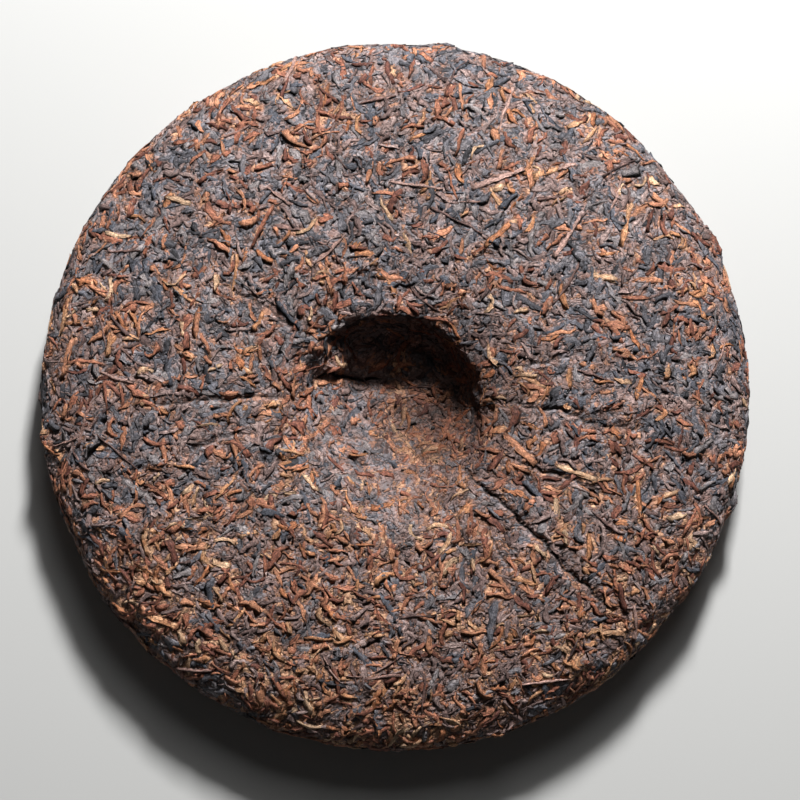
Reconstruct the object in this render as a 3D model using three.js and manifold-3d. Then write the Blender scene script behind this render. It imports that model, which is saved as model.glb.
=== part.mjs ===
// A cake of pressed pu erh tea: steamed leaves matted in a cloth bag into a round, flat-domed disc.
// It lies on its domed face, with the back up, where the knot of the bag left an off-centre dimple
// and folds that run out from it. Millimetres, +Z up, origin on the table under the middle.
import * as THREE from "three";
import { ImprovedNoise } from "three/addons/math/ImprovedNoise.js";
import { mergeVertices } from "three/addons/utils/BufferGeometryUtils.js";
import Module from "manifold-3d";

const wasm = await Module();
wasm.setup();

const { clamp, degToRad, euclideanModulo, lerp, radToDeg, seededRandom, smoothstep } = THREE.MathUtils;

// ---- Driving dimensions -----------------------------------------------------------------------

const RADIUS = 97.5; // half the diameter of a cake of 357 g
const THICKNESS = 26; // from the table to the crest of the back
const WAIST_HEIGHT = 12.5; // height of the widest line of the edge
const FLAT_RADIUS = 46; // flat spot in the middle of the domed face
const CREST_RADIUS = 44; // where the back is highest
const ROUNDING = 2.2; // exponent of the Lamé arcs that both faces follow to the waist
const DIMPLE_DEPTH = 15.4; // from the crest to the middle of the floor

// The knot leaned over, so the dimple has a steep side and a soft side across from it. Each ring of
// it, from the floor to the crest, is an oval: how far it reaches to the steep side, to the soft
// side and across, and how far it lies below the crest on either side.
const LEAN = degToRad(72); // where the steep side is, from +X
const STEEP_MIDDLE = degToRad(52); // the steep side's drops hold round this direction
const DIMPLE = [
  { steep: 12, soft: -8, across: 12, drop: [15.2, 14.8] },
  { steep: 15, soft: -12.5, across: 17.3, drop: [14, 12.3] },
  { steep: 17.4, soft: -17.5, across: 21.3, drop: [11, 9.2] },
  { steep: 19, soft: -22.5, across: 23.8, drop: [7.2, 6.1] },
  { steep: 20.4, soft: -27.5, across: 25.8, drop: [3.6, 3.2] },
  { steep: 26, soft: -32.5, across: 30, drop: [1.8, 1.3] },
  { steep: 33, soft: -37.5, across: 35.5, drop: [0.6, 0.4] },
];

const SEGMENTS = 72; // facets round the cake
const DOME_STEPS = 9; // rings of facets from the crest to the waist
const FACE_STEPS = 6; // rings of facets from the waist to the flat spot

const SWELL = { size: 15, height: 0.35 }; // long, low unevenness of the pressing
const CRUMB = { size: 5.5, height: 0.8 }; // bumps of matted leaf
const STRAY = { size: 4, share: 0.3 }; // how far corners stray round the cake, of a segment

// Crumbled places of the edge: direction and width in degrees, and depth.
const CHIPS = [
  { angle: -40, width: 4, depth: 1.4 },
  { angle: -20, width: 2.5, depth: 1.1 },
  { angle: -132, width: 5, depth: 0.7 },
  { angle: 36, width: 5, depth: 0.7 },
  { angle: 204, width: 2.5, depth: 0.9 },
];

// Folds that the cloth left: direction in degrees, first and last radius, how far they turn aside,
// and width.
const FOLDS = [
  { angle: -46, from: 34, to: 86, turn: 1, width: 1.4 },
  { angle: -57, from: 42, to: 66, turn: -3, width: 0.9 },
  { angle: -30, from: 34, to: 62, turn: 4, width: 1.2 },
  { angle: -8, from: 28, to: 70, turn: -2, width: 1.1 },
  { angle: 11, from: 30, to: 56, turn: -3, width: 1 },
  { angle: 148, from: 30, to: 58, turn: -4, width: 1 },
  { angle: 183, from: 34, to: 68, turn: -2, width: 1.1 },
  { angle: 196, from: 36, to: 62, turn: -3, width: 1.2 },
];
const FOLD = { depth: 1.2, ripple: 0.6, ripples: 5, steps: 5 };

// Pieces of leaf that stand out of the mat, the largest first. Sizes are [least, most].
const KINDS = {
  stem: { length: [16, 25], width: [1.8, 2.5], height: 1.1, bow: 0.05, steps: 4 },
  leaf: { length: [9, 14], width: [3, 4.2], height: 0.9, bow: 0.12, steps: 3 },
  bud: { length: [7, 11], width: [2.1, 2.9], height: 1.1, bow: 0.25, steps: 3 },
};
const SUNK = 1.6; // how deep a piece reaches into the mat

// ---- The surface ------------------------------------------------------------------------------

// Points of a Lamé arc in the first quadrant, from (0, 1) to (1, 0), without the first.
function lame(steps) {
  return Array.from({ length: steps }, (_, i) => {
    const turn = ((i + 1) / steps) * (Math.PI / 2);
    const corner = [Math.sin(turn), Math.max(0, Math.cos(turn))];
    return corner.map((side) => side ** (2 / ROUNDING));
  });
}

// A round ring, level all the way.
function round(radius, height) {
  return { steep: radius, soft: -radius, across: radius, height: [height, height] };
}

// The rings of the cake, from the middle of the dimple over the back and the edge to the middle of
// the flat spot.
const floorShift = (DIMPLE[0].steep + DIMPLE[0].soft) / 2;
const floorHeight = THICKNESS - DIMPLE_DEPTH;
const rings = [
  { steep: floorShift, soft: floorShift, across: 0, height: [floorHeight, floorHeight] },
  ...DIMPLE.map(({ drop, ...ring }) => ({ ...ring, height: drop.map((down) => THICKNESS - down) })),
  round(CREST_RADIUS, THICKNESS),
  ...lame(DOME_STEPS).map(([out, up]) =>
    round(lerp(CREST_RADIUS, RADIUS, out), lerp(WAIST_HEIGHT, THICKNESS, up)),
  ),
  ...lame(FACE_STEPS)
    .reverse()
    .slice(1)
    .map(([out, up]) => round(lerp(FLAT_RADIUS, RADIUS, out), WAIST_HEIGHT * (1 - up))),
  round(FLAT_RADIUS, 0),
  round(0, 0),
];
const CREST = DIMPLE.length + 1; // places of these lines in the list of rings
const WAIST = CREST + DOME_STEPS;
const FLAT = WAIST + FACE_STEPS;

// A smooth curve through three numbers of each ring.
function curveThrough(pick) {
  const points = rings.map((ring) => new THREE.Vector3(...pick(ring)));
  return new THREE.CatmullRomCurve3(points, false, "catmullrom");
}

const reaches = curveThrough(({ steep, soft, across }) => [steep, soft, across]);
const heights = curveThrough(({ height }) => [...height, 0]);

// A point of the smooth cake, by its place among the rings, which need not be whole, and its angle.
function smoothPoint(ring, angle) {
  const place = clamp(ring / (rings.length - 1), 0, 1);
  const { x: steep, y: soft, z: across } = reaches.getPoint(place);
  const { x: steepHeight, y: softHeight } = heights.getPoint(place);
  const toLean = angle - LEAN;
  const along = (steep + soft) / 2 + ((steep - soft) / 2) * Math.cos(toLean);
  const aside = across * Math.sin(toLean);
  const soften = smoothstep(-Math.cos(angle - STEEP_MIDDLE), -0.4, 0.6);
  return new THREE.Vector3(
    along * Math.cos(LEAN) - aside * Math.sin(LEAN),
    along * Math.sin(LEAN) + aside * Math.cos(LEAN),
    lerp(steepHeight, softHeight, soften),
  );
}

const noise = new ImprovedNoise();

function bumps({ x, y, z }, { size, height }) {
  return height * noise.noise(x / size, y / size, z / size + size);
}

// How far the crumbled edge falls in at a point.
function chipping({ x, y, z }) {
  const angle = radToDeg(Math.atan2(y, x));
  const nearWaist = Math.exp(-(((z - WAIST_HEIGHT - 3) / 5) ** 2));
  const onEdge = smoothstep(Math.hypot(x, y), RADIUS - 8, RADIUS - 2);
  const depths = CHIPS.map((chip) => {
    const off = euclideanModulo(angle - chip.angle + 180, 360) - 180;
    return chip.depth * Math.exp(-((off / chip.width) ** 2));
  });
  return Math.max(...depths) * nearWaist * onEdge;
}

// A point of the uneven cake. The flat spot stays plain, so that the cake lies steady.
function unevenPoint(ring, angle) {
  const point = smoothPoint(ring, angle);
  const relief = ring > FLAT - 0.5 ? 0 : bumps(point, SWELL) + bumps(point, CRUMB);
  const upward = ring < WAIST ? 1 - smoothstep(ring, CREST, WAIST) : -0.5;
  const outward = clamp((ring - CREST) / DOME_STEPS, 0, 1) * relief - chipping(point);
  const stretch = 1 + outward / Math.max(1, Math.hypot(point.x, point.y));
  const height = Math.max(0, point.z + upward * relief);
  return new THREE.Vector3(point.x * stretch, point.y * stretch, height);
}

// The point, the way out of the surface, and the lengths of one ring's and one radian's step.
function surfaceAt({ ring, angle }) {
  const nudge = 0.02;
  const onward = unevenPoint(ring + nudge, angle).sub(unevenPoint(ring - nudge, angle));
  const around = unevenPoint(ring, angle + nudge).sub(unevenPoint(ring, angle - nudge));
  return {
    point: unevenPoint(ring, angle),
    out: onward.clone().cross(around).normalize(),
    ringStep: onward.length() / (2 * nudge),
    angleStep: around.length() / (2 * nudge),
  };
}

// Where one comes to on the surface, walking so far onward and so far around.
function walked(start, onward, around) {
  const paces = 6;
  let place = start;
  for (let i = 0; i < paces; i++) {
    const { ringStep, angleStep } = surfaceAt(place);
    place = {
      ring: place.ring + onward / paces / ringStep,
      angle: place.angle + around / paces / angleStep,
    };
  }
  return place;
}

// ---- Solids -----------------------------------------------------------------------------------

function solidFrom(geometry) {
  geometry.deleteAttribute("normal");
  geometry.deleteAttribute("uv");
  const merged = mergeVertices(geometry, 1e-4);
  return new wasm.Manifold(
    new wasm.Mesh({
      numProp: 3,
      vertProperties: merged.attributes.position.array,
      triVerts: new Uint32Array(merged.index.array),
    }),
  );
}

// Moves each corner of a geometry to where the rule puts it, by its position and its uv.
function reshaped(geometry, rule) {
  const { position, uv } = geometry.attributes;
  for (let i = 0; i < position.count; i++) {
    const moved = rule(
      new THREE.Vector3().fromBufferAttribute(position, i),
      new THREE.Vector2().fromBufferAttribute(uv, i),
    );
    position.setXYZ(i, moved.x, moved.y, moved.z);
  }
  return geometry;
}

// The mat of leaves, without those that stand out. It is turned from the flat spot up, and a
// lathe's uv tells each corner's angle and ring.
function mat() {
  const profile = rings.map(({ across, height }) => new THREE.Vector2(across, height[0])).reverse();
  const lathe = new THREE.LatheGeometry(profile, SEGMENTS);
  return solidFrom(
    reshaped(lathe, ({ x, y, z }, uv) => {
      const stray = STRAY.share * noise.noise(x / STRAY.size, y / STRAY.size, z / STRAY.size);
      const angle = ((uv.x * SEGMENTS + stray) / SEGMENTS) * 2 * Math.PI;
      return unevenPoint(Math.round((1 - uv.y) * (rings.length - 1)), angle);
    }),
  );
}

// A bar laid on the surface round a place: the rule says, for a corner of the unit bar, how far it
// lies along the bar, aside from it and out of the surface.
function laidBar({ place, heading, steps }, rule) {
  return solidFrom(
    reshaped(new THREE.BoxGeometry(1, 1, 1, steps, 1, 1), (corner) => {
      const { along, aside, out } = rule(corner);
      const onward = along * Math.cos(heading) - aside * Math.sin(heading);
      const around = along * Math.sin(heading) + aside * Math.cos(heading);
      const at = surfaceAt(walked(place, onward, around));
      const moved = at.point.addScaledVector(at.out, out);
      moved.z = Math.max(0, moved.z);
      return moved;
    }),
  );
}

// A piece of leaf: bowed, tapered to both ends and narrower on top.
function leafPiece({ length, width, height, bow, ...lay }) {
  return laidBar(lay, (corner) => {
    const t = 2 * corner.x;
    const taper = 1 - 0.6 * Math.abs(t) ** 2.5;
    const isTop = corner.z > 0;
    return {
      along: (length / 2) * t,
      aside: width * taper * corner.y * (isTop ? 0.6 : 1) + bow * length * (t * t - 0.4),
      out: isTop ? height * (1 - 0.5 * t * t) : -SUNK,
    };
  });
}

// The blade that opens one fold: a wedge with its edge down, shallow at both ends.
function foldBlade({ angle, from, to, turn, width }) {
  const place = { ring: ringAtRadius((from + to) / 2), angle: degToRad(angle) };
  return laidBar({ place, heading: 0, steps: FOLD.steps }, (corner) => {
    const t = 2 * corner.x;
    const isTop = corner.z > 0;
    const sway = turn * (t * t - 0.4) + FOLD.ripple * Math.sin(FOLD.ripples * t);
    return {
      along: ((to - from) / 2) * t,
      aside: sway + width * corner.y * (isTop ? 2.2 : 0.1),
      out: isTop ? FOLD.depth : -FOLD.depth * (1 - 0.85 * Math.abs(t) ** 3),
    };
  });
}

// The place among the rings of the back that has this radius.
function ringAtRadius(radius) {
  const outer = rings.findIndex(({ across }) => across >= radius);
  const [inside, outside] = [rings[outer - 1].across, rings[outer].across];
  return outer - 1 + (radius - inside) / (outside - inside);
}

// ---- Where the pieces lie ---------------------------------------------------------------------

// Each belt is between two places among the rings. Headings are in degrees from the way over the
// edge, so 90 is along it.
const ANY_WAY = [0, 180];
const ALONG_EDGE = [68, 112];
const BELTS = [
  { kind: "stem", count: 9, from: CREST - 1, to: WAIST - 3, heading: ANY_WAY },
  { kind: "leaf", count: 33, from: CREST - 3, to: WAIST - 2.5, heading: ANY_WAY },
  { kind: "bud", count: 28, from: CREST - 3, to: WAIST - 2.5, heading: ANY_WAY },
  { kind: "leaf", count: 10, from: WAIST - 2.5, to: WAIST + 1.5, heading: ALONG_EDGE },
  { kind: "bud", count: 9, from: WAIST - 2.5, to: WAIST + 1.5, heading: ALONG_EDGE },
  { kind: "stem", count: 3, from: WAIST + 2, to: FLAT - 0.5, heading: ANY_WAY },
  { kind: "leaf", count: 8, from: WAIST + 2, to: FLAT, heading: ANY_WAY },
  { kind: "bud", count: 5, from: 1.5, to: 4, heading: ANY_WAY },
];
const EVEN_STEPS = [0.7548776662466927, 0.5698402909980532]; // steps of an even two-way spread

// The place that has a part of a belt's area before it.
function ringByArea(from, to, part) {
  const slices = 60;
  const places = Array.from({ length: slices }, (_, i) => lerp(from, to, (i + 0.5) / slices));
  const areas = places.map((ring) => {
    const { ringStep, angleStep } = surfaceAt({ ring, angle: 0 });
    return ringStep * angleStep;
  });
  const wanted = part * areas.reduce((sum, area) => sum + area, 0);
  let passed = 0;
  return places.find((_, i) => (passed += areas[i]) >= wanted);
}

// Spreads the pieces of one belt evenly, by area.
function beltPieces({ kind, count, from, to, heading }, belt) {
  seededRandom(belt + 11);
  const between = ([least, most]) => lerp(least, most, seededRandom());
  const { length, width, height, bow, steps } = KINDS[kind];
  return Array.from({ length: count }, (_, i) => {
    const [part, turn] = EVEN_STEPS.map((step) => ((i + 1) * step + belt * 0.31) % 1);
    return leafPiece({
      length: between(length),
      width: between(width),
      height: height * between([0.7, 1.2]),
      bow: bow * between([-1, 1]),
      heading: degToRad(between(heading)),
      place: { ring: ringByArea(from, to, part), angle: 2 * Math.PI * turn },
      steps,
    });
  });
}

// ---- The cake ---------------------------------------------------------------------------------

function cakeGeometry() {
  const pieces = BELTS.flatMap(beltPieces);
  const matted = wasm.Manifold.union([mat(), ...pieces]);
  const folded = matted.subtract(wasm.Manifold.union(FOLDS.map(foldBlade)));
  const bodies = folded.decompose().sort((a, b) => b.volume() - a.volume());
  const { vertProperties, triVerts } = bodies[0].getMesh(); // without sealed gaps and loose scraps
  const geometry = new THREE.BufferGeometry();
  geometry.setAttribute("position", new THREE.BufferAttribute(vertProperties, 3));
  geometry.setIndex(new THREE.BufferAttribute(triVerts, 1));
  geometry.computeVertexNormals();
  return geometry;
}

const pressedTea = new THREE.MeshStandardMaterial({ color: 0x4a3c38, roughness: 0.7, metalness: 0 });

const cake = new THREE.Mesh(cakeGeometry(), pressedTea);
cake.name = "tea_cake";

const part = new THREE.Group();
part.add(cake);

export default part;
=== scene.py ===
# Dresses the pressed tea cake. Shreds of leaf are laid one over another on a core of mashed leaf, as
# they matted in the press, and those that end up covered are left out.
import math

import bmesh
import bpy
import numpy as np
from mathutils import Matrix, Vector, noise
from mathutils.kdtree import KDTree


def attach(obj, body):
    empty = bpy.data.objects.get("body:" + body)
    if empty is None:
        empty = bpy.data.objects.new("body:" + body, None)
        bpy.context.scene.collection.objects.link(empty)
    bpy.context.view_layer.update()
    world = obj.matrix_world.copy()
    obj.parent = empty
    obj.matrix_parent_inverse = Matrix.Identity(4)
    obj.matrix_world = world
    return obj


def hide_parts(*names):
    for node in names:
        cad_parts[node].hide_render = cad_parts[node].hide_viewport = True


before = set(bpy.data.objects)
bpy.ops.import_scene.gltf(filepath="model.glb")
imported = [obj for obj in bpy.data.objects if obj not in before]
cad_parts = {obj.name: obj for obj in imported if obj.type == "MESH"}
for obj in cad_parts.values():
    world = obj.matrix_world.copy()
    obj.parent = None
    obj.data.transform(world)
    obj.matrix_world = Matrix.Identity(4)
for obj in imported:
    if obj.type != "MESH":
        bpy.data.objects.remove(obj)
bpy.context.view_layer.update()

MM = 0.001
CAKE = "tea_cake"
SEED = 357
random = np.random.default_rng(SEED)

# ---- The cake, in millimetres unless a comment says otherwise ---------------------------------

RADIUS = 97.5
WAIST = 12.5  # height of the widest line of the edge
FUNNEL = 33  # radius that the dimple's funnel reaches
FACE = 90  # radius that the pressed face reaches
BLEND = 6  # width of the strips where the pressed face goes over into the dimple and the edge
INSIDE = 5  # height inside the cake, under every point of the upper face
UPPER_RISE = 0.2  # the upper face is where the way out rises more than this
EDGE_RISE = 0.75  # the edge is where the way out rises less than this

PRESSED = "pressed"  # vertex group of the pressed face
PRESSED_EVEN = 9.0  # how much the pressed face is evened out
LEAST_WEIGHT = 0.05  # points of less weight stay out of the group
MERGED = 0.01  # corners nearer to each other than this are one

SAMPLE_STEP = 0.55  # between the points that the leaves are laid on
SAMPLE_ROUNDS = 7  # of smoothing
OUT_ROUNDS = 6  # of easing the way out at each point
CORE_STEP = 1.0  # between the points of the core
CORE_ROUNDS = 4  # of smoothing
CORE_SINK = 0.09  # how far the core lies under the middle of the pressed mat
CORE_RELIEF = 0.10  # bumps of crumbled leaf on the core
CORE_REACH = 1.0  # the core swells with the mat's mean height within this reach
CORE_LIFT = 0.1  # the core stays this high over the floor

PRESS = 0.19  # share of the laid height that the press leaves
PROUD = -0.15  # height of the middle of the pressed mat over the solid's surface

# Cracks that the cloth's folds left: the way they run and how deep they are.
CRACKS = [
    dict(depth=1.0, way=[(15.5, -18.4), (27.7, -29.1), (38.3, -39.0), (49.6, -51.0), (62.5, -61.5)]),
    dict(depth=0.5, way=[(19.1, -32.4), (25.0, -35.7), (29.0, -44.3), (33.0, -54.3)]),
    dict(depth=0.6, way=[(28.4, -17.1), (39.6, -21.1), (53.5, -25.8), (59.5, -29.1)]),
    dict(depth=0.6, way=[(27.0, -2.5), (44.9, -5.2), (56.2, -9.2), (64.2, -10.1), (71.0, -9.0)]),
    dict(depth=0.5, way=[(29.4, 5.7), (42.0, 8.6), (55.0, 10.7)]),
    dict(depth=0.5, way=[(-25.4, 15.9), (-37.0, 24.4), (-49.2, 30.7)]),
    dict(depth=0.6, way=[(-26.0, -1.0), (-46.0, -1.9), (-67.9, -3.6)]),
    dict(depth=0.5, way=[(-34.6, -9.9), (-47.0, -12.5), (-59.6, -17.1)]),
    dict(depth=1.8, way=[(-21.5, 4.2), (-13.5, 4.8), (-3.0, 4.2)]),
    dict(depth=1.6, way=[(-13.0, -17.0), (-10.0, -18.4), (-7.0, -19.4)]),
]
CRACK_STEP = 0.5  # between the points of a crack
CRACK_WAVES = [(0.35, 0.42), (0.25, 1.1)]  # how far aside it sways, and radians for a millimetre
CRACK_FIELD = 4  # how far aside of a crack its depth is worked out
CRACK_CLEAR = 0.3  # cracks deeper than this turn and stop the shreds
CRACK_GAP = 0.10  # half the width of a crack between the shreds beside it
CRACK_CLEARED = 0.9  # share of a shred's half width that has to clear a crack
CRACK_REACH = 1.3  # shreds that start this near to a crack lie along it
CRACK_LINE = 2.5  # how far aside of a crack the mash's colour knows of it
CRACK_SHADE_PER_MM = 1.4  # how dark the painted shade in a crack is for each millimetre of its depth
GROOVE = 0.55  # half the width of the core's groove under a crack
FAR = 99.0  # stands for how far aside a crack is where there is none near

# In the dimple a ledge of leaf was left on the +Y side of the deepest crack, with a hollow on its
# +X side. The lip is farther toward +Y, where the mat stayed level up to the steep side.
LEDGE = dict(centre=(-17.6, 9.6), half=(5.0, 3.9), rise=3.3)
HOLLOW = dict(centre=(-4.5, 4.8), half=(8.5, 4.0), rise=-2.2)
LIP = dict(centre=(-2, 21.8), half=(11, 3.2), rise=1.5)

# Where the cloth's knot rubbed the face smooth: there the shreds are sunk in the mash.
RUBBED = dict(centre=(3, -19), reach=17, sunk=0.2)

# The dimple's floor: how much more often redder kinds are laid there, the tone that the mash nears
# and how far, and the share of each colour that painted shade of the deep hollow takes there.
DEEP = dict(centre=(13, -5), reach=20, redder=2.8, mash=0.78, nears=0.6, painted_shade=(0.77, 0.84, 0.87))

# Toward -Y the colours run redder too: how much more often redder kinds are laid there, and how
# much redder the mash is.
LOWER = dict(redder=5.0, mash=0.15)

# ---- The shreds, in millimetres unless a comment says otherwise -------------------------------

# The kinds of shred. Share is how often a kind is laid. Lengths, widths and thicknesses are
# [least, most], and sunk is how far the shreds are pressed into the mash. Bend, hook and kink are
# in degrees. Stations are the rings of corners along a shred. Patch is how strongly the kind keeps
# to patches of its own. Tones run from its darkest to its lightest leaf, and mash is their place in
# the mash's colours.
KINDS = {
    "charcoal_shreds": dict(
        mash=0.06, share=0.06, length=(2.5, 8.5), width=(1.1, 2.8), thick=(0.18, 0.36), sunk=0.09,
        bend=35, hook=35, kink=14, stations=6, patch=1.3,
        tones=[(0.036, 0.034, 0.039), (0.080, 0.076, 0.087), (0.140, 0.130, 0.142)]),
    # The slate tones are bluish partly as painted sheen; the rest is the leaf's own grey.
    "slate_shreds": dict(
        mash=0.30, share=0.27, length=(2.5, 9.5), width=(1.3, 3.4), thick=(0.18, 0.34), sunk=0.09,
        bend=30, hook=35, kink=14, stations=6, patch=1.3,
        tones=[(0.084, 0.088, 0.108), (0.162, 0.150, 0.165), (0.266, 0.228, 0.224)]),
    "umber_shreds": dict(
        mash=0.54, share=0.36, length=(2.0, 7.5), width=(0.9, 2.6), thick=(0.18, 0.36), sunk=0.07,
        bend=50, hook=50, kink=18, stations=5, patch=0.8,
        tones=[(0.125, 0.076, 0.068), (0.250, 0.165, 0.150), (0.375, 0.265, 0.240)]),
    "rust_shreds": dict(
        mash=0.80, share=0.135, length=(2.6, 9.0), width=(1.1, 2.8), thick=(0.2, 0.42), sunk=0.02,
        bend=45, hook=50, kink=18, stations=5, patch=1.9,
        tones=[(0.160, 0.058, 0.041), (0.370, 0.142, 0.084), (0.540, 0.245, 0.138)]),
    "golden_tips": dict(
        mash=0.90, share=0.035, length=(2.8, 8.0), width=(1.2, 2.5), thick=(0.24, 0.46), sunk=0.0,
        bend=50, hook=60, kink=16, stations=5, patch=1.5,
        tones=[(0.420, 0.156, 0.070), (0.520, 0.250, 0.125), (0.640, 0.420, 0.268)]),
    "leaf_stems": dict(
        mash=0.55, share=0.006, length=(7, 16), width=(0.9, 1.5), thick=(0.6, 0.9), sunk=0.1,
        bend=14, hook=12, kink=6, stations=9, patch=0.0,
        tones=[(0.090, 0.055, 0.052), (0.280, 0.160, 0.135), (0.460, 0.285, 0.240)]),
}
MIDDLE_TONE = 0.5  # place in the mash's colours between the dark kinds and the red ones
PATCH_SIZE = 6.5  # width of the patches that the kinds keep to
PATCHY = 3.0  # how strongly they keep to them
PATCHES_APART = 40  # between the places, in patches, where two kinds' patches are read

LAID = 16500  # shreds laid before the covered ones are left out
CHOICES = 3  # places tried for a shred, which goes to the lowest
SHORTER = 1.15  # above 1, shreds are small more often than they are large
STRAY_AT_CRACK = 16  # how far a shred strays from the way of a crack, in degrees
STRAY_AT_EDGE = 32  # how far it strays from the way round the edge, in degrees
COVERED = 0.12  # a station is covered where the mat is higher than it by more than this
SEEN_STATIONS = 2  # a shred with fewer stations in sight is left out

ENDS = (0.2, 1.0)  # how wide a shred's ends are, as a share of its middle
TAPER = 2.2  # how late it narrows toward its ends
UNEVEN = 0.16  # unevenness of its width from station to station
NARROWEST = 0.15  # half the width that it has at least
THIN = 0.55  # how thick a pointed end is, as a share of the middle
LEAN = 0.12  # how far it leans to a side, in radians
TWIST = 0.16  # how much further it leans at its ends, in radians
CREASES = (-0.5, 1.0)  # from a groove along its top to a ridge
SAG = 0.9  # how far its sides bend at most to follow the surface
RAGGED = 0.26  # unevenness of its outline, as a share of the half width
CRUMPLE = 0.10  # unevenness of its faces

FOOT = 0.45  # least reach round a station within which the mat carries a shred
ON_TOP = 0.3  # where it rests there, from the mat's mean height to its highest point
STIFF = [0.25, 0.5, 0.25]  # shares of the stations before, at and after one in its height
GIVE = 0.25  # how far it gives at most where the mat peaks under it
DOMED = 0.5  # how much lower its sides are than its middle, as a share of its thickness

# A shred's section: place across, as a share of the half width, and height, as a share of the
# thickness. The crease lifts or lowers the corner on top.
SECTION = 6
SECTION_ACROSS = np.array([0.55, 0.0, -0.55, -1.0, 0.0, 1.0])
SECTION_HEIGHT = np.array([0.42, 0.5, 0.42, 0.0, -0.5, 0.0])
SECTION_CREASE = np.array([0.0, 0.35, 0.0, 0.0, 0.0, 0.0])
SECTION_BOTTOM = 4  # the corner at the bottom

# A shred's cell in the map: its sides take the middle, and there is a cap at each end.
MAP_SIDES = 0.05  # where the sides start along the cell
MAP_CAP = (0.02, 0.45)  # half the size of a cap, along and round
CELL_MARGIN = 0.06  # share of a cell that stays free at each side
CELL_LENGTH = 3  # length of a cell for its width
GRAIN_ROUND = 4.0  # way round a shred in its grain
GRAIN_SPREAD = 400  # shreds start anywhere within this much of the grain

# Strands that stand out on the face: the kind, both ends, the width and the tone.
STRANDS = [
    ("leaf_stems", (21, 54.5), (35.5, 60.5), 2.2, 1.0),
    ("leaf_stems", (44.5, 60), (49.5, 62), 1.8, 0.9),
    ("leaf_stems", (43, 36), (50, 47.5), 2.0, 1.0),
    ("slate_shreds", (21.5, 64.5), (34, 73.5), 1.9, 0.3),
    ("slate_shreds", (-49.5, 65.5), (-40.5, 68.5), 2.0, 0.3),
    ("slate_shreds", (25, -68.5), (27.5, -56.5), 3.0, 0.3),
    ("charcoal_shreds", (-26, 49), (-19, 36), 2.0, 0.6),
    ("charcoal_shreds", (33, 25.5), (41, 22), 2.6, 0.5),
    ("rust_shreds", (-32.5, 50.5), (-39, 39), 1.7, 0.4),
    ("rust_shreds", (-20.5, 35), (-14.5, 27), 2.4, 1.0),
    ("rust_shreds", (29.5, -11.5), (38.5, -19.5), 2.4, 1.0),
    ("rust_shreds", (-59, -41.5), (-50.5, -42.5), 2.8, 1.0),
    ("rust_shreds", (-1.5, -40.5), (0, -46), 2.2, 1.0),
    ("rust_shreds", (-0.5, -72), (0, -66), 3.0, 1.0),
    ("rust_shreds", (-87.5, 15), (-90.5, 3.5), 2.4, 0.9),
    ("golden_tips", (61.5, 39.5), (65, 48.5), 2.0, 0.5),
    ("golden_tips", (24.5, 39.5), (31, 46), 2.2, 0.2),
    ("golden_tips", (37.5, 58), (44.5, 60.5), 2.6, 0.6),
    ("golden_tips", (53.5, 31.5), (60, 30), 2.6, 0.8),
    ("golden_tips", (-60.5, 29.5), (-53.5, 24), 2.4, 0.5),
    ("golden_tips", (-42.5, 37), (-42, 27), 2.2, 0.5),
    ("golden_tips", (43.5, -20), (53.5, -25.5), 2.6, 0.8),
    ("golden_tips", (65, -22), (65.5, -34), 1.9, 0.2),
    ("golden_tips", (38, -41.5), (40.5, -45), 2.6, 0.9),
    ("golden_tips", (52, -38), (54, -45.5), 2.2, 0.3),
    ("golden_tips", (31.5, -50.5), (38.5, -52), 2.0, 0.4),
    ("golden_tips", (-67, -60), (-58.5, -64), 3.0, 0.5),
    ("golden_tips", (-89, 26), (-91.5, 15.5), 2.0, 0.5),
]
STRAND_BENDS = 0.2  # share of its kind's bends that a strand keeps
STRAND_UNEVEN = 0.4  # share of its kind's unevenness that it keeps

# ---- The solid's surface ----------------------------------------------------------------------


def numbers(items, key, width, kind=np.float32):
    """One attribute of a mesh's vertices, edges or faces as an array."""
    found = np.empty(len(items) * width, kind)
    items.foreach_get(key, found)
    return found.reshape(-1, width)


def eased_normals(mesh, rounds):
    """The mesh's normals, each drawn toward its neighbours' for some rounds."""
    out = numbers(mesh.vertices, "normal", 3).astype(float)
    first, last = numbers(mesh.edges, "vertices", 2, np.int32).T
    for _ in range(rounds):
        total = out.copy()
        np.add.at(total, first, out[last])
        np.add.at(total, last, out[first])
        out = total / np.linalg.norm(total, axis=1, keepdims=True)
    return out


def changed(mesh, modifiers, weights=None):
    """The mesh as modifiers leave it, each given as its kind and settings. The weights make the
    vertex group PRESSED."""
    piece = bpy.data.objects.new(mesh.name, mesh)
    bpy.context.scene.collection.objects.link(piece)
    if weights is not None:
        group = piece.vertex_groups.new(name=PRESSED)
        for place in np.nonzero(weights > LEAST_WEIGHT)[0]:
            group.add([int(place)], float(weights[place]), "REPLACE")
    for kind, settings in modifiers:
        modifier = piece.modifiers.new(kind, kind)
        for key, value in settings.items():
            setattr(modifier, key, value)
    evaluated = piece.evaluated_get(bpy.context.evaluated_depsgraph_get())
    result = bpy.data.meshes.new_from_object(evaluated)
    bpy.data.objects.remove(piece)
    return result


def pressed_share(points):
    """How much of the pressed face's evening each point gets: none in the dimple or at the edge."""
    radius = np.hypot(points[:, 0], points[:, 1])
    share = np.clip((radius - FUNNEL) / BLEND, 0, 1) * np.clip((FACE - radius) / BLEND, 0, 1)
    share[points[:, 2] < WAIST] = 0
    return share


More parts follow.
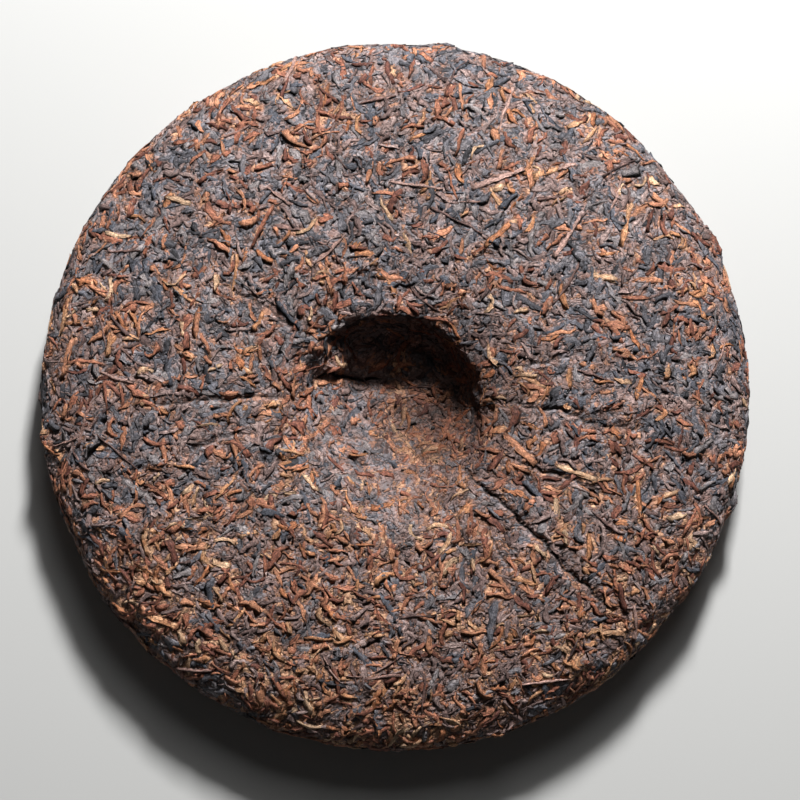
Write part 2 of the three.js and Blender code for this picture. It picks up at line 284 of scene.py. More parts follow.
def evened_mesh(name, step, rounds):
    """The cake's solid with even, relaxed faces, smoother where the press was flat, and with the
    ledge, the hollow and the lip of the dimple."""
    bm = bmesh.new()
    bm.from_mesh(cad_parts[CAKE].data)
    bmesh.ops.remove_doubles(bm, verts=bm.verts, dist=MERGED * MM)
    bmesh.ops.recalc_face_normals(bm, faces=bm.faces)
    mesh = bpy.data.meshes.new(name)
    bm.to_mesh(mesh)
    bm.free()
    evened = changed(mesh, [("REMESH", dict(mode="VOXEL", voxel_size=step * MM))])
    pressed_rounds = int(PRESSED_EVEN / step**2)
    evened = changed(
        evened, [
            ("SMOOTH", dict(factor=0.5, iterations=rounds)),
            ("SMOOTH", dict(factor=0.5, iterations=pressed_rounds, vertex_group=PRESSED))],
        pressed_share(numbers(evened.vertices, "co", 3) / MM))
    points = numbers(evened.vertices, "co", 3)
    upper = points[:, 2] > INSIDE * MM
    for heave in (LEDGE, HOLLOW, LIP):
        away = (points[:, :2] / MM - heave["centre"]) / heave["half"]
        points[:, 2] += heave["rise"] * MM * np.exp(-(away**4).sum(1)) * upper
    evened.vertices.foreach_set("co", points.ravel())
    evened.update()
    return evened


def crack_points(crack):
    """Points along a crack in the plane, and how deep it is at each: less toward both ends."""
    way = np.array(crack["way"])
    run = np.concatenate([[0], np.cumsum(np.linalg.norm(np.diff(way, axis=0), axis=1))])
    place = np.arange(0, run[-1], CRACK_STEP)
    points = np.stack([np.interp(place, run, way[:, 0]), np.interp(place, run, way[:, 1])], 1)
    (wide, slow), (narrow, quick) = CRACK_WAVES
    aside = wide * np.sin(slow * place) + narrow * np.sin(quick * place + way[0, 0])
    normal = np.gradient(points, axis=0)[:, ::-1] * (-1, 1)
    points += normal / np.linalg.norm(normal, axis=1, keepdims=True) * aside[:, None]
    return points, crack["depth"] * (1 - np.abs(2 * place / run[-1] - 1) ** 4)


def crack_field(points):
    """For points of the surface: how far aside the nearest crack is, with a sign for the side,
    how deep it is and which way it runs."""
    depths = np.zeros(len(points))
    aside = np.full(len(points), FAR)
    way = np.zeros((len(points), 3))
    upper = np.nonzero(points[:, 2] > INSIDE * MM)[0]
    flat = points[upper, :2] / MM
    for crack in CRACKS:
        line, depth = crack_points(crack)
        run = np.gradient(line, axis=0)
        run /= np.linalg.norm(run, axis=1, keepdims=True)
        low, high = line.min(0) - CRACK_FIELD, line.max(0) + CRACK_FIELD
        near = np.nonzero(((flat > low) & (flat < high)).all(1))[0]
        gaps = np.linalg.norm(flat[near, None] - line[None], axis=2)
        closest = gaps.argmin(1)
        gap = gaps[np.arange(len(near)), closest]
        offset = flat[near] - line[closest]
        left = run[closest, 0] * offset[:, 1] > run[closest, 1] * offset[:, 0]
        nearer = gap < np.abs(aside[upper[near]])
        spot = upper[near][nearer]
        aside[spot] = np.where(left, gap, -gap)[nearer]
        depths[spot] = depth[closest[nearer]]
        way[spot, :2] = run[closest[nearer]]
    return aside, depths, way


class Surface:
    """Even points of the cake, the way out at each, and the mat's height and mash there."""

    def __init__(self):
        mesh = evened_mesh("cake_samples", SAMPLE_STEP, SAMPLE_ROUNDS)
        self.points = numbers(mesh.vertices, "co", 3).astype(float)
        self.out = eased_normals(mesh, OUT_ROUNDS)
        bpy.data.meshes.remove(mesh)
        aside, self.crack_depth, self.crack_way = crack_field(self.points)
        self.crack_away = np.abs(aside)
        self.height = np.zeros(len(self.points))
        self.mash = np.full(len(self.points), MIDDLE_TONE)
        self.tree = KDTree(len(self.points))
        for i, point in enumerate(self.points):
            self.tree.insert(point, i)
        self.tree.balance()
        rises = self.out[:, 2] > UPPER_RISE
        upper = np.nonzero(rises & (self.points[:, 2] > INSIDE * MM))[0]
        self.upper_tree = KDTree(len(upper))
        for i in upper:
            self.upper_tree.insert((*self.points[i, :2], 0), i)
        self.upper_tree.balance()

    def laid_near(self, point, reach):
        """The mean height of the laid mat within reach of a point, and its mean mash."""
        near = [i for _, i, _ in self.tree.find_range(point, reach * MM)]
        near = near or [self.tree.find(point)[1]]
        return self.height[near].mean(), self.mash[near].mean()

    def under(self, place):
        """The upper face's point at a place in the plane, in millimetres."""
        near = self.upper_tree.find((place[0] * MM, place[1] * MM, 0))[1]
        return Vector(self.points[near])

    def settle(self, point):
        """The point moved onto the surface, and the nearest sample."""
        for _ in range(2):
            _, i, _ = self.tree.find(point)
            out = Vector(self.out[i])
            point = point - out * (point - Vector(self.points[i])).dot(out)
        return point, i


# ---- Laying the shreds ------------------------------------------------------------------------

# What is kept of each laid shred: for its stations, and for the shred as a whole.
STATION_VALUES = (
    "centre", "side", "out", "sample", "sag", "half_width", "thick", "rest", "twist", "deep")
SHRED_VALUES = ("length", "tone", "crease")


class Shreds:
    """The laid shreds of one kind: a list for each of their values, with a row for each shred."""

    def __init__(self, kind):
        self.kind = kind
        self.rows = {key: [] for key in STATION_VALUES + SHRED_VALUES}

    def add(self, **values):
        for key, value in values.items():
            self.rows[key].append(value)

    def all(self, key, keep=slice(None)):
        """One value of all shreds, or of those to keep, as an array."""
        return np.array(self.rows[key], dtype=float)[keep]


def between(pair, power=1.0):
    """A number between two, nearer to the first for a power above 1."""
    return pair[0] + (pair[1] - pair[0]) * random.random() ** power


def first_heading(surface, i):
    """A heading for a shred that starts at a sample: along a crack or the edge, or any way."""
    out = Vector(surface.out[i])
    point = Vector(surface.points[i])
    if surface.crack_away[i] < CRACK_REACH and surface.crack_depth[i] > CRACK_CLEAR:
        heading = Vector(surface.crack_way[i])
        turn = random.normal(0, STRAY_AT_CRACK)
    elif abs(out.z) < EDGE_RISE:
        heading = Vector((-point.y, point.x, 0))
        turn = random.normal(0, STRAY_AT_EDGE)
    else:
        heading = Vector((1, 0, 0))
        turn = random.uniform(-180, 180)
    heading = (heading - out * heading.dot(out)).normalized()
    turn = math.radians(turn)
    return heading * math.cos(turn) + out.cross(heading) * math.sin(turn)


def shape_shred(kind, length=None, width=None):
    """A shred's own shape: its length, how it turns at each station, and its half widths and
    thicknesses."""
    count = kind["stations"]
    t = np.linspace(-1, 1, count)
    length = length or between(kind["length"], SHORTER)
    width = width or between(kind["width"], SHORTER)
    bend, hook = np.radians(random.normal(0, (kind["bend"], kind["hook"]))) / (count - 1)
    turns = bend + hook * np.maximum(0, t) ** 2 + np.radians(random.normal(0, kind["kink"], count))
    ends = np.where(t < 0, *random.uniform(*ENDS, 2))
    taper = 1 - (1 - ends) * np.abs(t) ** TAPER
    half_width = width / 2 * taper * (1 + UNEVEN * random.standard_normal(count))
    thick = between(kind["thick"]) * (THIN + (1 - THIN) * taper)
    return length, turns, np.maximum(half_width, NARROWEST), thick


def walk(surface, start, heading, step, turns):
    """A shred's centreline over the surface: places, sideways, out and samples."""
    point, sample = surface.settle(start)
    centre, side, out, samples = [], [], [], []
    for turn in turns:
        way_out = Vector(surface.out[sample])
        heading = (heading - way_out * heading.dot(way_out)).normalized()
        across = way_out.cross(heading)
        centre.append(point)
        side.append(across)
        out.append(way_out)
        samples.append(sample)
        heading = heading * math.cos(turn) + across * math.sin(turn)
        point, sample = surface.settle(point + heading * (step * MM))
    return centre, side, out, samples


def sagging(surface, centre, side, out, half_width):
    """How far the surface rises or drops at a shred's left and right side, at each station."""
    sag = np.empty((len(centre), 2))
    for k, point in enumerate(centre):
        for right, way in enumerate((1, -1)):
            reach = side[k] * (way * half_width[k] * MM)
            sag[k, right] = (surface.settle(point + reach)[0] - point).dot(out[k]) / MM
    return np.clip(sag, -SAG, SAG)


def bridges_crack(surface, samples, half_width):
    """Whether a shred would lie over a crack."""
    near = surface.crack_away[samples] < CRACK_GAP + CRACK_CLEARED * half_width
    return (near & (surface.crack_depth[samples] > CRACK_CLEAR)).any()


def settle_on(surface, centre, half_width, thick, step, mash):
    """How high a shred lies on the mat at its stations. The mat grows by it."""
    under = []
    rest = np.empty(len(centre))
    for k, point in enumerate(centre):
        reach = max(half_width[k], step / 2, FOOT)
        found = surface.tree.find_range(point, reach * MM)
        if not found:
            found = [(None, surface.tree.find(point)[1], 0)]
        indices = np.array([i for _, i, _ in found])
        gaps = np.array([gap for _, _, gap in found]) / (reach * MM)
        heights = surface.height[indices]
        rest[k] = heights.mean() + ON_TOP * (heights.max() - heights.mean())
        under.append((indices, gaps))
    smooth = np.convolve(np.pad(rest, 1, "edge"), STIFF, "valid")
    rest = np.maximum(smooth, rest - GIVE)
    for k, (indices, gaps) in enumerate(under):
        top = rest[k] + thick[k] * (1 - DOMED * gaps**2)
        higher = top > surface.height[indices]
        surface.height[indices[higher]] = top[higher]
        surface.mash[indices[higher]] = mash
    return rest


def deep_in(point):
    """How near a point is to the middle of the dimple's floor: 1 there and 0 far off."""
    away = math.hypot(point[0] / MM - DEEP["centre"][0], point[1] / MM - DEEP["centre"][1])
    return math.exp(-((away / DEEP["reach"]) ** 2)) if point[2] > INSIDE * MM else 0


def lay_shred(surface, shreds, start, heading, shape, tone=None, bridging=False):
    """Lays one shred over what lies there already, unless it would bridge a crack."""
    length, turns, half_width, thick = shape
    step = length / (len(turns) - 1)
    centre, side, out, samples = walk(surface, start, heading, step, turns)
    if not bridging and bridges_crack(surface, samples, half_width):
        return
    shreds.add(
        centre=centre, side=side, out=out, sample=samples, length=length,
        half_width=half_width, thick=thick,
        sag=sagging(surface, centre, side, out, half_width),
        rest=settle_on(surface, centre, half_width, thick, step, shreds.kind["mash"]),
        twist=random.normal(0, LEAN) + random.normal(0, TWIST) * np.linspace(-1, 1, len(turns)),
        deep=[deep_in(point) for point in centre],
        tone=random.random() if tone is None else tone,
        crease=random.uniform(*CREASES))


def lay_strand(surface, laid, strand):
    """Lays a strand from end to end, straighter and more even than its kind."""
    name, start, end, width, tone = strand
    shreds = laid[name]
    run = Vector((*end, 0)) - Vector((*start, 0))
    length, turns, half_width, thick = shape_shred(shreds.kind, run.length, width)
    mean = half_width.mean()
    straight = (length, turns * STRAND_BENDS, mean + STRAND_UNEVEN * (half_width - mean), thick)
    lay_shred(
        surface, shreds, surface.under(start), run.normalized(), straight, tone, bridging=True)


def pick_kind(point):
    """A kind for a shred that starts at a point: by the kinds' shares and their patches there, and
    redder in the dimple and toward -Y."""
    lower = max(0, -point[1]) / (RADIUS * MM)
    weights = []
    for place, kind in enumerate(KINDS.values()):
        spot = Vector(point) / (PATCH_SIZE * MM) + Vector((0, 0, PATCHES_APART * place))
        patch = PATCHY * kind["patch"] * noise.noise(spot)
        wish = DEEP["redder"] * deep_in(point) + LOWER["redder"] * lower
        weights.append(kind["share"] * math.exp(patch + (kind["mash"] - MIDDLE_TONE) * wish))
    weights = np.array(weights)
    return list(KINDS)[random.choice(len(weights), p=weights / weights.sum())]


def lay_all(surface):
    """Lays the shreds of all kinds, and the strands last."""
    laid = {name: Shreds(kind) for name, kind in KINDS.items()}
    for _ in range(LAID):
        candidates = random.integers(0, len(surface.points), CHOICES)
        start = candidates[surface.height[candidates].argmin()]
        point = Vector(surface.points[start])
        shreds = laid[pick_kind(point)]
        lay_shred(surface, shreds, point, first_heading(surface, start), shape_shred(shreds.kind))
    for strand in STRANDS:
        lay_strand(surface, laid, strand)
    return laid


def seen_shreds(surface, shreds):
    """Which shreds of a kind the others leave in sight."""
    top = shreds.all("rest") + shreds.all("thick")
    final = surface.height[shreds.all("sample").astype(int)]
    return np.nonzero((top > final - COVERED).sum(1) >= SEEN_STATIONS)[0]


# ---- Making the shreds ------------------------------------------------------------------------


def face_map(station, place, stations):
    """Where a face's corners lie in a shred's cell of the map: along it and round it."""
    around = place / SECTION
    if len(place) == SECTION:
        along, half_round = MAP_CAP
        middle = along if station[0] == 0 else 1 - along
        turn = around * 2 * math.pi
        return np.stack([middle + along * np.cos(turn), 0.5 + half_round * np.sin(turn)], 1)
    if around.max() - around.min() > 0.5:
        around[around < 0.5] += 1
    along = MAP_SIDES + (1 - 2 * MAP_SIDES) * station / (stations - 1)
    return np.stack([along, around], 1)


def shred_template(stations):
    """A closed tube with a ring of corners at each station: the station and the place in the
    section of each corner, the faces and their places in the map."""
    bm = bmesh.new()
    bmesh.ops.create_cone(
        bm, cap_ends=True, cap_tris=False, segments=SECTION, radius1=1, radius2=1, depth=2)
    for t in np.linspace(-1, 1, stations)[1:-1]:
        everything = bm.verts[:] + bm.edges[:] + bm.faces[:]
        bmesh.ops.bisect_plane(bm, geom=everything, plane_co=(0, 0, t), plane_no=(0, 0, 1))
    bm.verts.index_update()
    corners = np.array([vert.co[:] for vert in bm.verts])
    station = np.rint((corners[:, 2] + 1) / 2 * (stations - 1)).astype(int)
    turn = np.arctan2(corners[:, 1], corners[:, 0]) / (2 * math.pi)
    place = np.rint(turn * SECTION).astype(int) % SECTION
    faces = [np.array([vert.index for vert in face.verts]) for face in bm.faces]
    maps = [face_map(station[face], place[face], stations) for face in faces]
    bm.free()
    return station, place, faces, maps


def shred_corners(surface, shreds, keep, station, place):
    """Places of all corners of the kept shreds: shreds, corners, 3."""
    centre, side, out = (shreds.all(key, keep) for key in ("centre", "side", "out"))
    half_width, thick, rest = (shreds.all(key, keep) for key in ("half_width", "thick", "rest"))
    right = (SECTION_ACROSS[place] < 0).astype(int)
    sag = shreds.all("sag", keep)[:, station, right]
    away = np.linalg.norm(centre[..., :2] / MM - RUBBED["centre"], axis=2) / RUBBED["reach"]
    rubbed = RUBBED["sunk"] * np.exp(-(away**2)) * (out[..., 2] > 0)
    mean = surface.height.mean()
    pressed = (rest + thick / 2 - mean) * PRESS + PROUD - rubbed - shreds.kind["sunk"]
    ragged = 1 + RAGGED * random.standard_normal((len(keep), len(station)))
    across = SECTION_ACROSS[place] * half_width[:, station] * ragged
    crumple = CRUMPLE * random.standard_normal((len(keep), len(station)))
    rise = SECTION_HEIGHT[place] + SECTION_CREASE[place] * shreds.all("crease", keep)[:, None]
    rise = rise * thick[:, station] + crumple
    turn = shreds.all("twist", keep)[:, station]
    along_side = across * np.cos(turn) - rise * np.sin(turn)
    along_out = across * np.sin(turn) + rise * np.cos(turn) + pressed[:, station]
    along_out += sag * SECTION_ACROSS[place] ** 2
    corners = centre[:, station] + side[:, station] * (along_side * MM)[..., None]
    corners += out[:, station] * (along_out * MM)[..., None]
    corners[..., 2] = np.maximum(corners[..., 2], 0)
    return corners


def joined_mesh(name, corners, faces):
    """One mesh of many shreds that have the same faces."""
    number, each = corners.shape[:2]
    mesh = bpy.data.meshes.new(name)
    sizes = np.array([len(face) for face in faces])
    loops = np.concatenate(faces)
    mesh.vertices.add(number * each)
    mesh.vertices.foreach_set("co", corners.astype(np.float32).ravel())
    mesh.loops.add(number * len(loops))
    first = np.arange(number)[:, None] * each
    mesh.loops.foreach_set("vertex_index", (first + loops).astype(np.int32).ravel())
    mesh.polygons.add(number * len(faces))
    starts = np.concatenate([[0], np.cumsum(sizes)[:-1]])
    first = np.arange(number)[:, None] * len(loops)
    mesh.polygons.foreach_set("loop_start", (first + starts).astype(np.int32).ravel())
    mesh.update(calc_edges=True)
    return mesh


def set_values(mesh, name, values):
    """An attribute of a mesh's corners."""
    mesh.attributes.new(name, "FLOAT", "POINT").data.foreach_set("value", values.astype(np.float32))


def set_map(mesh, name, places):
    """A map of a mesh's faces."""
    layer = mesh.uv_layers.new(name=name)
    layer.data.foreach_set("uv", places.astype(np.float32).ravel())


def set_maps(mesh, local, length):
    """Two maps of a kind's shreds: one of cells that keep clear of each other, and the grain at
    true size."""
    number = len(length)
    columns = math.ceil(math.sqrt(number / CELL_LENGTH))
    lines = math.ceil(number / columns)
    cell = np.stack([np.arange(number) % columns, np.arange(number) // columns], 1)
    inner = CELL_MARGIN + (1 - 2 * CELL_MARGIN) * local
    set_map(mesh, "OFBake", (cell[:, None] + inner) / np.array([columns, lines]))
    grain = local * np.stack([length, np.full(number, GRAIN_ROUND)], 1)[:, None]
    set_map(mesh, "grain", grain + random.uniform(0, GRAIN_SPREAD, (number, 1, 2)))


def new_piece(name, mesh, material):
    """A piece of the scene from its mesh and its only material."""
    mesh.materials.clear()
    mesh.materials.append(material)
    piece = bpy.data.objects.new(name, mesh)
    bpy.context.scene.collection.objects.link(piece)
    return piece


def make_kind(surface, name, shreds):
    """Joins the shreds of a kind that are in sight into one piece."""
    kind = shreds.kind
    keep = seen_shreds(surface, shreds)
    station, place, faces, maps = shred_template(kind["stations"])
    mesh = joined_mesh(name, shred_corners(surface, shreds, keep, station, place), faces)
    set_maps(mesh, np.concatenate(maps), shreds.all("length", keep))
    set_values(mesh, "tone", np.repeat(shreds.all("tone", keep), len(station)))
    # how near each corner is to the dimple's floor, where the material paints shade
    set_values(mesh, "deep", shreds.all("deep", keep)[:, station].ravel())
    # how near each corner is to the shred's rim, where the material paints shade
    at_end = (station == 0) | (station == kind["stations"] - 1)
    rim = np.where(at_end | (place == SECTION_BOTTOM), 1.0, np.abs(SECTION_ACROSS[place]))
    set_values(mesh, "rim", np.tile(rim, len(keep)))
    mesh.validate()
    return new_piece(name, mesh, leaf_material(name, kind["tones"]))


# ---- Finishes ---------------------------------------------------------------------------------

NOISE_SPAN = (0.3, 0.7)  # nearly all of a noise lies between these
ROUGHNESS = 0.68
SHEEN = 0.3
LEAF_RELIEF = 0.10  # height of the crinkles on a shred, in millimetres
MASH_RELIEF = 0.24  # height of the flakes on the core, in millimetres

# Patches of all the leaf are lighter and darker: their number in a metre, and the share of the
# colour that is left in the darkest and the lightest.
PATCHED = dict(scale=190.0, least=0.78, most=1.24)

# A place's shade in a shred, from 0 in its kind's darkest tone to 1 in its lightest: what the
# shred's own tone, the streaks along it and the spread over many shreds add to the start.
LEAF_SHADE = dict(start=-0.9, own=1.1, streak=0.8, spread=0.9)
LEAF_SPECKS = dict(least=0.80, most=1.20)  # share of the colour in dark specks and in light ones
SPECK_RISE = 0.8  # height of a shred's light specks for that of its crinkles
CRINKLE_SHADE = 0.55  # share of the colour that is lost to painted shade in a shred's crinkles
RIM_PAINTED_SHADE = dict(least=1.0, most=0.62)  # share of the colour that painted shade leaves where its rim starts and where it ends

# The same for the mash, where a flake's own tone and the leaf it comes from add to the start.
MASH_SHADE = dict(start=-0.12, flake=0.5, leaf=0.75)
MASH_SPECKS = dict(least=0.65, most=1.3)
MASH_DIP_SHADE = dict(least=0.3, most=1.0)  # share of the colour that painted shade leaves in the dips between the flakes and on them
SWIRL = 3.0  # how far the flakes' rows are bent aside, in millimetres
WRINKLED = 0.5  # share of the height that is lost in a wrinkle, which the painted shade of the dips then darkens
MASH_TONES = [
    (0.00, (0.048, 0.045, 0.052)), (0.15, (0.098, 0.098, 0.115)), (0.32, (0.178, 0.158, 0.168)),
    (0.50, (0.262, 0.182, 0.166)), (0.64, (0.195, 0.116, 0.099)), (0.80, (0.365, 0.180, 0.110)),
    (0.95, (0.550, 0.320, 0.195))]
CRACK_PAINTED_SHADE = 0.9  # share of the colour that is lost to painted shade in a crack
FRAY = 0.5  # how far a crack's edges are frayed, in millimetres

FLAKE_BULGE = 0.8  # height of a flake's middle over its edge
FLAKE_LEVEL = 0.6  # how much higher the highest flake lies than the lowest


def new_material(name):
    material = bpy.data.materials.new(name)
    material.use_nodes = True
    return material, material.node_tree, material.node_tree.nodes["Principled BSDF"]


def node(tree, kind, **settings):
    """A node with some of its sockets and settings filled in."""
    made = tree.nodes.new("ShaderNode" + kind)
    for key, value in settings.items():
        if key in made.inputs:
            made.inputs[key].default_value = value
        else:
            setattr(made, key, value)
    return made


def fill(tree, made, values):
    """Fills a node's first sockets from sockets, numbers and triples."""
    for place, value in enumerate(values):
        if isinstance(value, bpy.types.NodeSocket):
            tree.links.new(value, made.inputs[place])
        else:
            made.inputs[place].default_value = value


def maths(tree, operation, *values):
    made = node(tree, "Math", operation=operation)
    fill(tree, made, values)
    return made.outputs[0]


def vector_maths(tree, operation, *values):
    made = node(tree, "VectorMath", operation=operation)
    fill(tree, made, values)
    return made.outputs[0]


def attribute(tree, name):
    return node(tree, "Attribute", attribute_name=name).outputs["Fac"]


def object_place(tree):
    return node(tree, "TexCoord").outputs["Object"]


def split(tree, colour):
    """A colour's three channels, each a number of its own."""
    made = node(tree, "SeparateColor")
    tree.links.new(colour, made.inputs[0])
    return made.outputs[:3]


def ramp(tree, fac, stops):
    made = node(tree, "ValToRGB")
    elements = made.color_ramp.elements
    while len(elements) < len(stops):
        elements.new(0.5)
    for element, (position, colour) in zip(elements, stops):
        element.position = position
        element.color = (*colour, 1)
    tree.links.new(fac, made.inputs["Fac"])
    return made.outputs["Color"]


def eased(tree, value, low, high, least=0.0, most=1.0):
    """The value's way from low to high, eased, as a number from least to most."""
    made = node(tree, "MapRange", interpolation_type="SMOOTHSTEP")
    tree.links.new(value, made.inputs["Value"])
    for key, number in (("From Min", low), ("From Max", high), ("To Min", least), ("To Max", most)):
        made.inputs[key].default_value = number
    return made.outputs["Result"]


def texture(tree, kind, place, output, **settings):
    made = node(tree, "Tex" + kind, **settings)
    tree.links.new(place, made.inputs["Vector"])
    return made.outputs[output]


def stretched(tree, place, scale):
    made = node(tree, "Mapping")
    made.inputs["Scale"].default_value = scale
    tree.links.new(place, made.inputs["Vector"])
    return made.outputs["Vector"]


def dimmed(tree, colour, *shares):
    """A colour times each of the shares."""
    for share in shares:
        made = node(tree, "VectorMath", operation="SCALE")
        tree.links.new(colour, made.inputs[0])
        tree.links.new(share, made.inputs["Scale"])
        colour = made.outputs[0]
    return colour


def in_place(tree, colour):
    """A colour as it is at its place: in lighter and darker patches, and with painted shade on the
    dimple's floor that takes more of the green and blue than of the red."""
    patch = texture(
        tree, "Noise", object_place(tree), "Fac", Scale=PATCHED["scale"], Detail=1.0)
    patched = eased(tree, patch, *NOISE_SPAN, PATCHED["least"], PATCHED["most"])
    colour = dimmed(tree, colour, patched)
    # painted shade of the deep hollow, warmer than grey
    painted_shade_lost = tuple(-share for share in DEEP["painted_shade"])
    left = vector_maths(tree, "MULTIPLY_ADD", attribute(tree, "deep"), painted_shade_lost, (1, 1, 1))
    return vector_maths(tree, "MULTIPLY", colour, left)


def dress(tree, skin, colour, height, depth):
    """Sets a skin's colour and the relief that its height field gives it, and dries it."""
    tree.links.new(in_place(tree, colour), skin.inputs["Base Color"])
    bump = node(tree, "Bump", Strength=1.0, Distance=depth * MM)
    tree.links.new(height, bump.inputs["Height"])
    tree.links.new(bump.outputs["Normal"], skin.inputs["Normal"])
    skin.inputs["Roughness"].default_value = ROUGHNESS
    skin.inputs["Specular IOR Level"].default_value = SHEEN


def crinkles(tree, place, scale, thin):
    """Thin lines, 0 in them and 1 away from them, where a noise crosses its middle."""
    crossing = texture(tree, "Noise", stretched(tree, place, scale), "Fac", Scale=1.0, Detail=2.0)
    return eased(tree, maths(tree, "ABSOLUTE", maths(tree, "SUBTRACT", crossing, 0.5)), 0.0, thin)


def leaf_material(name, tones):
    """Dried leaf: streaks and crinkles along it with painted shade in the crinkles, and painted
    shade at its rim where it dips under others.
    """
    material, tree, skin = new_material(name)
    grain = node(tree, "UVMap", uv_map="grain").outputs["UV"]
    place = object_place(tree)
    streak = texture(
        tree, "Noise", stretched(tree, grain, (0.45, 2.2, 1)), "Fac",
        Scale=1.0, Detail=3.0, Roughness=0.6)
    specks = texture(tree, "Noise", place, "Fac", Scale=1300.0, Detail=2.0, Roughness=0.65)
    spread = texture(tree, "Noise", place, "Fac", Scale=550.0, Detail=1.0)
    own = attribute(tree, "tone")
    shade = maths(tree, "MULTIPLY_ADD", own, LEAF_SHADE["own"], LEAF_SHADE["start"])
    shade = maths(tree, "MULTIPLY_ADD", streak, LEAF_SHADE["streak"], shade)
    shade = maths(tree, "MULTIPLY_ADD", spread, LEAF_SHADE["spread"], shade)
    colour = ramp(tree, shade, list(zip((0.0, 0.5, 1.0), tones)))
    lines = crinkles(tree, grain, (0.9, 2.4, 1), thin=0.08)
    # random specks, painted shade in the crinkles and painted shade at the rim
    colour = dimmed(
        tree, colour,
        eased(tree, specks, *NOISE_SPAN, **LEAF_SPECKS),
        maths(tree, "MULTIPLY_ADD", lines, CRINKLE_SHADE, 1 - CRINKLE_SHADE),
        eased(tree, attribute(tree, "rim"), 0.65, 1.0, **RIM_PAINTED_SHADE))
    height = maths(tree, "MULTIPLY_ADD", specks, SPECK_RISE, lines)
    dress(tree, skin, colour, height, LEAF_RELIEF)
    return material


def flakes(tree, place, start, length, width, patch):
    """A layer of flakes with their own tones and places in height: (tone, height). Those of a
    patch lie one way."""
    moved = vector_maths(tree, "ADD", place, (start, 2 * start, 3 * start))
    way = split(tree, texture(tree, "Voronoi", moved, "Color", Scale=1 / patch))[0]
    turned = node(tree, "VectorRotate", rotation_type="Z_AXIS")
    tree.links.new(moved, turned.inputs["Vector"])
    tree.links.new(maths(tree, "MULTIPLY", way, 2 * math.pi), turned.inputs["Angle"])
    cells = stretched(tree, turned.outputs[0], (1 / length, 1 / width, 1 / width))
    tone, level, _ = split(tree, texture(tree, "Voronoi", cells, "Color", Scale=1.0))
    edge = texture(tree, "Voronoi", cells, "Distance", feature="DISTANCE_TO_EDGE", Scale=1.0)
    bulge = eased(tree, edge, 0.0, 0.32)
    height = maths(tree, "MULTIPLY", level, FLAKE_LEVEL)
    return tone, maths(tree, "MULTIPLY_ADD", bulge, FLAKE_BULGE, height)


def flake_layers(tree, place):
    """Two layers of flakes, the higher one showing at each place: (tone, height)."""
    tone_1, height_1 = flakes(tree, place, start=0.0, length=5.0, width=1.7, patch=6.5)
    tone_2, height_2 = flakes(tree, place, start=91.0, length=3.6, width=1.1, patch=5.0)
    tone = node(tree, "Mix", data_type="FLOAT")
    tree.links.new(maths(tree, "GREATER_THAN", height_1, height_2), tone.inputs["Factor"])
    tree.links.new(tone_2, tone.inputs["A"])
    tree.links.new(tone_1, tone.inputs["B"])
    return tone.outputs["Result"], maths(tree, "MAXIMUM", height_1, height_2)


def painted_crack_shade(tree, fine):
    """The cracks' lines of painted shade, 0 in them and 1 beside them. The fine noise frays them."""
    aside = maths(tree, "ADD", attribute(tree, "aside"), -FRAY / 2)
    away = maths(tree, "ABSOLUTE", maths(tree, "MULTIPLY_ADD", fine, FRAY, aside))
    line = eased(tree, away, 0.2, 0.5, least=1.0, most=0.0)
    return maths(tree, "SUBTRACT", 1.0, maths(tree, "MULTIPLY", attribute(tree, "crack"), line))


def mash_material():
    """Leaf mashed in the press: small flakes with painted shade in the dips round them, wrinkles,
    and cracks with painted shade in them.
    """
    material, tree, skin = new_material("mashed_leaf")
    place = vector_maths(tree, "MULTIPLY", object_place(tree), (1 / MM, 1 / MM, 1 / MM))
    swirl = texture(tree, "Noise", place, "Color", Scale=0.45, Detail=2.0)
    bent = vector_maths(tree, "MULTIPLY_ADD", swirl, (SWIRL, SWIRL, SWIRL), place)
    fine = texture(tree, "Noise", place, "Fac", Scale=1.6, Detail=3.0, Roughness=0.65)
    tone, height = flake_layers(tree, bent)
    shade = maths(tree, "MULTIPLY_ADD", tone, MASH_SHADE["flake"], MASH_SHADE["start"])
    shade = maths(tree, "MULTIPLY_ADD", attribute(tree, "mash"), MASH_SHADE["leaf"], shade)
    colour = ramp(tree, shade, MASH_TONES)
    wrinkles = crinkles(tree, bent, (0.4, 0.4, 0.4), thin=0.03)
    left = maths(tree, "MULTIPLY_ADD", wrinkles, WRINKLED, 1 - WRINKLED)
    height = maths(tree, "MULTIPLY", height, left)
    # painted shade in the dips between the flakes, random specks, and painted shade in the cracks
    colour = dimmed(
        tree, colour,
        eased(tree, height, 0.3, 0.75, **MASH_DIP_SHADE),
        eased(tree, fine, *NOISE_SPAN, **MASH_SPECKS),
        maths(tree, "MULTIPLY_ADD", painted_crack_shade(tree, fine), CRACK_PAINTED_SHADE, 1 - CRACK_PAINTED_SHADE))
    dress(tree, skin, colour, maths(tree, "MULTIPLY_ADD", fine, 0.6, height), MASH_RELIEF)
    return material


# ---- The core ---------------------------------------------------------------------------------


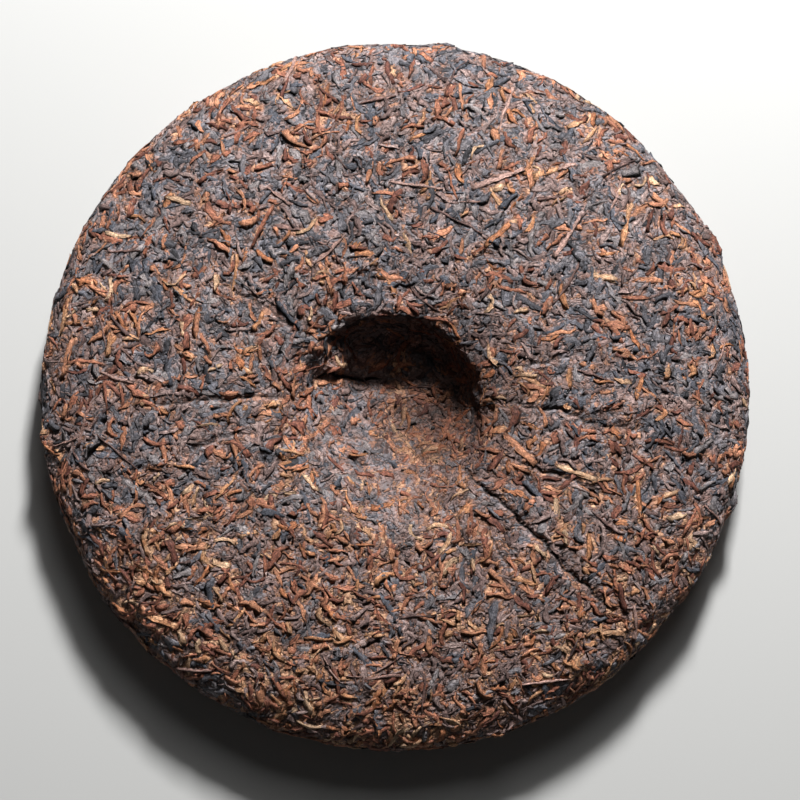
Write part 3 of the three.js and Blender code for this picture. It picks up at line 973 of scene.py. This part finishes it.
def make_core(surface):
    """The mashed leaf that the shreds are bedded in, which swells where the mat is thick."""
    mesh = evened_mesh("leaf_core", CORE_STEP, CORE_ROUNDS)
    points = numbers(mesh.vertices, "co", 3).astype(float)
    out = numbers(mesh.vertices, "normal", 3)
    aside, depth, _ = crack_field(points)
    cut = depth * np.exp(-((aside / GROOVE) ** 2))
    laid, mash = np.array([surface.laid_near(point, CORE_REACH) for point in points]).T
    rise = (laid - surface.height.mean()) * PRESS + PROUD - CORE_SINK
    rise += random.normal(0, CORE_RELIEF, len(points))
    points += out * ((rise - cut) * MM)[:, None]
    points[:, 2] = np.maximum(points[:, 2], CORE_LIFT * MM)
    mesh.vertices.foreach_set("co", points.astype(np.float32).ravel())
    mesh.update()
    deep = np.array([deep_in(point) for point in points])
    lower = np.maximum(0, -points[:, 1]) / (RADIUS * MM)
    nearer = DEEP["nears"] * deep * (DEEP["mash"] - mash)
    # painted shade in the cracks, darker where they are deeper
    crack_shade = np.minimum(1, CRACK_SHADE_PER_MM * depth)
    # how near each point is to the dimple's floor, where the material paints shade
    set_values(mesh, "deep", deep)
    set_values(mesh, "mash", mash + nearer + LOWER["mash"] * lower)
    set_values(mesh, "aside", np.clip(aside, -CRACK_LINE, CRACK_LINE))
    set_values(mesh, "crack", np.where(np.abs(aside) < CRACK_LINE, crack_shade, 0))
    return new_piece("leaf_core", mesh, mash_material())


# ---- The cake ---------------------------------------------------------------------------------

surface = Surface()
laid = lay_all(surface)
pieces = [make_core(surface)]
for name, shreds in laid.items():
    pieces.append(make_kind(surface, name, shreds))
for piece in pieces:
    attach(piece, "root")
    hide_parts(CAKE)

# ---- Floor, light and camera, in metres -------------------------------------------------------

FLOOR_HALF = 3
PALE = (0.5, 0.5, 0.49, 1)
MATT = 0.9
LOOKED_AT = (0.0015, -0.0020, 0.020)


def aimed(thing, place, target):
    """A lamp or camera at a place, turned to a target."""
    thing.location = place
    thing.rotation_euler = (Vector(target) - Vector(place)).to_track_quat("-Z", "Y").to_euler()
    bpy.context.scene.collection.objects.link(thing)
    return thing


def around(target, azimuth, elevation, distance):
    """A point at a distance from the target. The azimuth is from +X, and both angles are in
    degrees."""
    a, e = math.radians(azimuth), math.radians(elevation)
    way = Vector((math.cos(a) * math.cos(e), math.sin(a) * math.cos(e), math.sin(e)))
    return Vector(target) + way * distance


def add_floor():
    bm = bmesh.new()
    bmesh.ops.create_grid(bm, x_segments=1, y_segments=1, size=FLOOR_HALF)
    mesh = bpy.data.meshes.new("floor")
    bm.to_mesh(mesh)
    bm.free()
    material, _, skin = new_material("pale_floor")
    skin.inputs["Base Color"].default_value = PALE
    skin.inputs["Roughness"].default_value = MATT
    floor = new_piece("floor", mesh, material)


def add_light(name, azimuth, elevation, distance, size, watts):
    lamp = bpy.data.lights.new(name, "AREA")
    lamp.energy = watts
    lamp.size = size
    middle = (0, 0, 0)
    aimed(bpy.data.objects.new(name, lamp), around(middle, azimuth, elevation, distance), middle)


def add_sky(brightness):
    world = bpy.data.worlds.new("studio")
    world.use_nodes = True
    sky = world.node_tree.nodes["Background"]
    sky.inputs["Color"].default_value = (1, 1, 1, 1)
    sky.inputs["Strength"].default_value = brightness
    bpy.context.scene.world = world


def add_camera(azimuth, elevation, distance, lens):
    camera = bpy.data.cameras.new("camera")
    camera.lens = lens
    place = around(LOOKED_AT, azimuth, elevation, distance)
    bpy.context.scene.camera = aimed(bpy.data.objects.new("camera", camera), place, LOOKED_AT)


add_floor()
bpy.context.scene.view_settings.view_transform = "Standard"
add_light("key", azimuth=79, elevation=36.5, distance=0.85, size=0.12, watts=16.4)
add_light("fill", azimuth=79, elevation=44, distance=1.2, size=0.5, watts=3.0)
add_sky(0.025)
add_camera(azimuth=-90, elevation=87, distance=0.603, lens=100)
